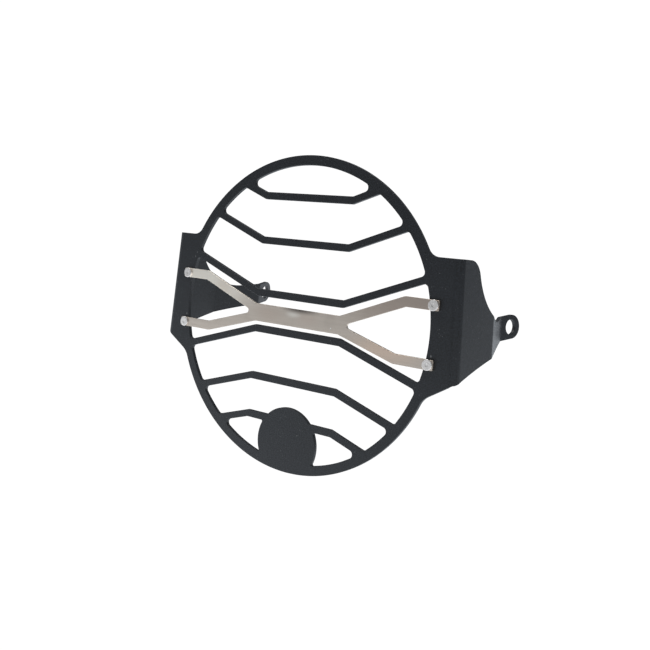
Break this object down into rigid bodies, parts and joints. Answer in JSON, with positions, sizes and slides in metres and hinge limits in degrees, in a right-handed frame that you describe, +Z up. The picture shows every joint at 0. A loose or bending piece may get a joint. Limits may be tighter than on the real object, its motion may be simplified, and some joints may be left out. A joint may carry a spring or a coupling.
{
  "type": "motorcycle headlight guard",
  "caption": "Round grille guard that stands before a motorcycle headlamp, with bent side wings, bolt ears and a riveted cross brace.",
  "frame": {"origin": "centre of the grille's ring on its front face", "axes": "+X to the right as seen from in front, +Y back towards the lamp, +Z up"},
  "size_m": [0.2274, 0.1022, 0.2],
  "materials": {
    "black_coat": "fine textured matt black powder coat",
    "brushed_brace": "brushed stainless steel",
    "rivet_alloy": "satin",
    "rivet_pin": "plain zinc plated"
  },
  "bodies": {
    "root": {"guard_plate": "black_coat", "cross_brace": "brushed_brace", "rivet_upper_left": "rivet_alloy", "rivet_upper_right": "rivet_alloy", "rivet_lower_left": "rivet_alloy", "rivet_lower_right": "rivet_alloy", "rivet_pin_upper_left": "rivet_pin", "rivet_pin_upper_right": "rivet_pin", "rivet_pin_lower_left": "rivet_pin", "rivet_pin_lower_right": "rivet_pin"}
  },
  "joints": []
}
